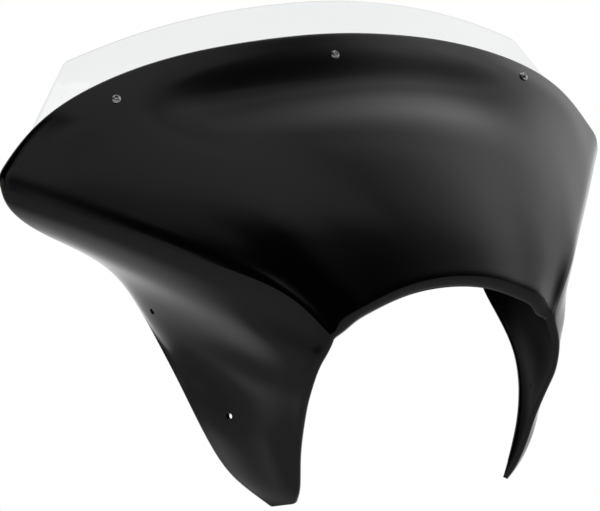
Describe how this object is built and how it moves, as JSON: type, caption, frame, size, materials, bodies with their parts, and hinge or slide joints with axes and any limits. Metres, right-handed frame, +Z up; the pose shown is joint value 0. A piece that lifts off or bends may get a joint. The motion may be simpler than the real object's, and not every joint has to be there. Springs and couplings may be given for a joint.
{
  "type": "motorcycle fairing",
  "caption": "Fork-mounted motorcycle fairing: a gloss black wing-shaped shell with creased skirt, arched headlight opening and side legs, and a low clear windscreen.",
  "frame": {"origin": "midway between the two upper bracket holes, on their common axis", "axes": "+X across the machine to the rider's left, +Y to the rear towards the rider, +Z up"},
  "size_m": [0.7866, 0.2824, 0.5137],
  "materials": {
    "black_shell": "high gloss",
    "clear_acrylic": "clear polished",
    "stainless_steel": "plain",
    "black_rubber": "matte"
  },
  "bodies": {
    "root": {"fairing_shell": "black_shell", "windscreen": "clear_acrylic", "screen_screws": "stainless_steel", "rubber_spacers": "black_rubber", "back_washers": "stainless_steel", "lock_nuts": "stainless_steel"}
  },
  "joints": []
}
